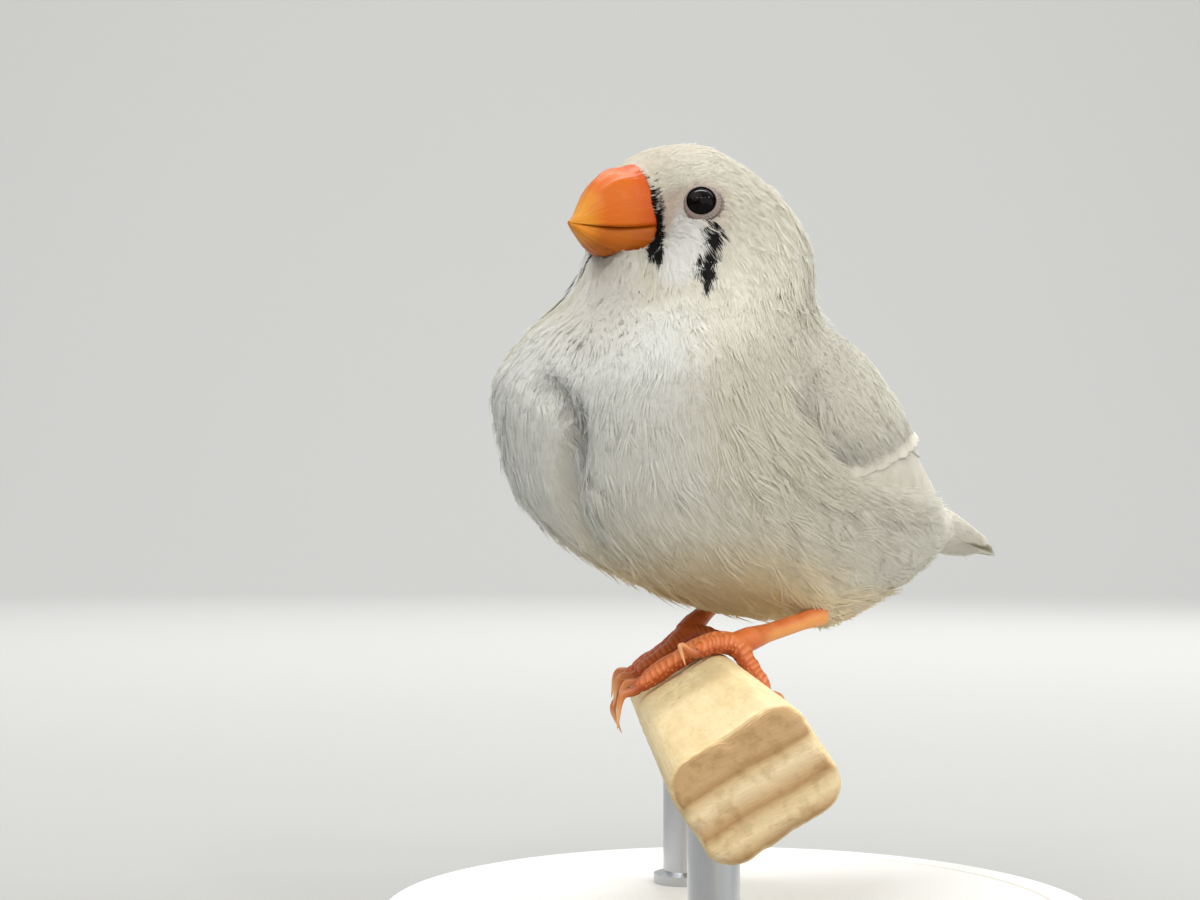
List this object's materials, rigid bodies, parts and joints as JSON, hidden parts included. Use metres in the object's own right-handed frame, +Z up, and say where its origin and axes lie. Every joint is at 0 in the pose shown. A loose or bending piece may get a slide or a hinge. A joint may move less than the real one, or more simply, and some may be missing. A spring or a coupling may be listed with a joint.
{
  "type": "zebra finch",
  "caption": "Life-size still model of a white zebra finch hen, fluffed and gripping a cut length of wooden perch, held by a plain round display stand.",
  "frame": {"origin": "middle of the stand base's underside, on the floor under the bird's breast", "axes": "+Z up, the bird's body faces -Y and its left side is +X; the perch runs 42 degrees from -Y towards +X"},
  "size_m": [0.0915, 0.1218, 0.0924],
  "materials": {
    "plumage_head": "silky contour feathers, warm white, with black marks at the bill and below the eye",
    "plumage_body": "soft loose contour feathers, white, cool on the throat and warm in the shade",
    "plumage_wing": "smooth cream white vanes in overlapping tiers",
    "plumage_tail": "narrow cream white vanes",
    "eye": "wet and glossy, near black",
    "bill_horn": "smooth orange horn with soft long ridges",
    "leg_skin": "orange pink scaled skin",
    "claw_horn": "pale translucent horn",
    "perch_pine": "bare sawn softwood with rounded edges and darker banded end grain",
    "stand_paint": "satin white lacquer on a turned wooden disc",
    "stand_steel": "brushed round rod"
  },
  "bodies": {
    "root": {"head": "plumage_head", "neck": "plumage_body", "torso": "plumage_body", "tail": "plumage_tail", "wing_left": "plumage_wing", "wing_right": "plumage_wing", "eye_left": "eye", "eye_right": "eye", "bill_upper": "bill_horn", "bill_lower": "bill_horn", "shank_left": "leg_skin", "shank_right": "leg_skin", "foot_left": "leg_skin", "foot_right": "leg_skin", "claw_left_1": "claw_horn", "claw_left_2": "claw_horn", "claw_left_3": "claw_horn", "claw_left_4": "claw_horn", "claw_right_1": "claw_horn", "claw_right_2": "claw_horn", "claw_right_3": "claw_horn", "claw_right_4": "claw_horn", "perch": "perch_pine", "stand_base": "stand_paint", "stand_rod_front": "stand_steel", "stand_rod_back": "stand_steel"}
  },
  "joints": []
}
